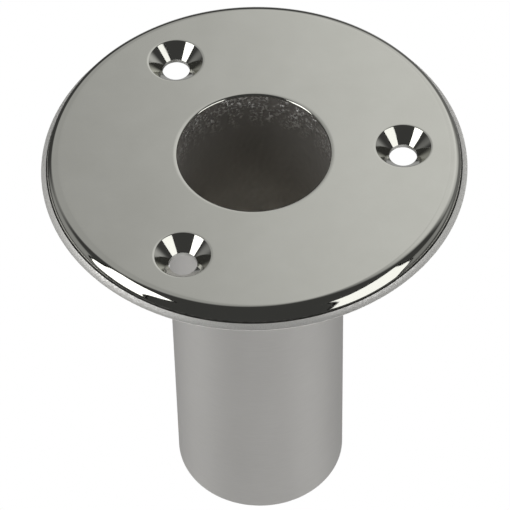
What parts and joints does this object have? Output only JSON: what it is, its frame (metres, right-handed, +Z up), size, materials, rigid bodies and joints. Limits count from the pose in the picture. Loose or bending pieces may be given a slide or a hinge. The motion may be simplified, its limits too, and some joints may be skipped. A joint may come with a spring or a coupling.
{
  "type": "rod holder",
  "caption": "Flush deck-mounted fishing rod holder in stainless steel: round polished flange with countersunk screw holes over a straight open tube with a cross pin near its foot.",
  "frame": {"origin": "centre of the flange's underside, in the plane that rests on the deck", "axes": "+Z up out of the socket, towards the rod; +X towards the first screw hole and along the gimbal pin; +Y completes the right-handed frame"},
  "size_m": [0.1, 0.1, 0.1129],
  "materials": {
    "polished_steel": "cast stainless steel, mirror-polished top, shoulder and countersinks with faint buffing lines, fine satin lip outside a narrow groove, rough-cast bore",
    "satin_steel": "stainless steel, even fine satin outside, rough-cast inside",
    "weld_metal": "stainless weld metal: rippled bead with faint heat tint under the flange, ground flush over the pin",
    "pin_steel": "drawn stainless round bar, smooth"
  },
  "bodies": {
    "root": {"deck_flange": "polished_steel", "socket_tube": "satin_steel", "flange_weld": "weld_metal", "gimbal_pin": "pin_steel", "pin_weld_left": "weld_metal", "pin_weld_right": "weld_metal"}
  },
  "joints": []
}
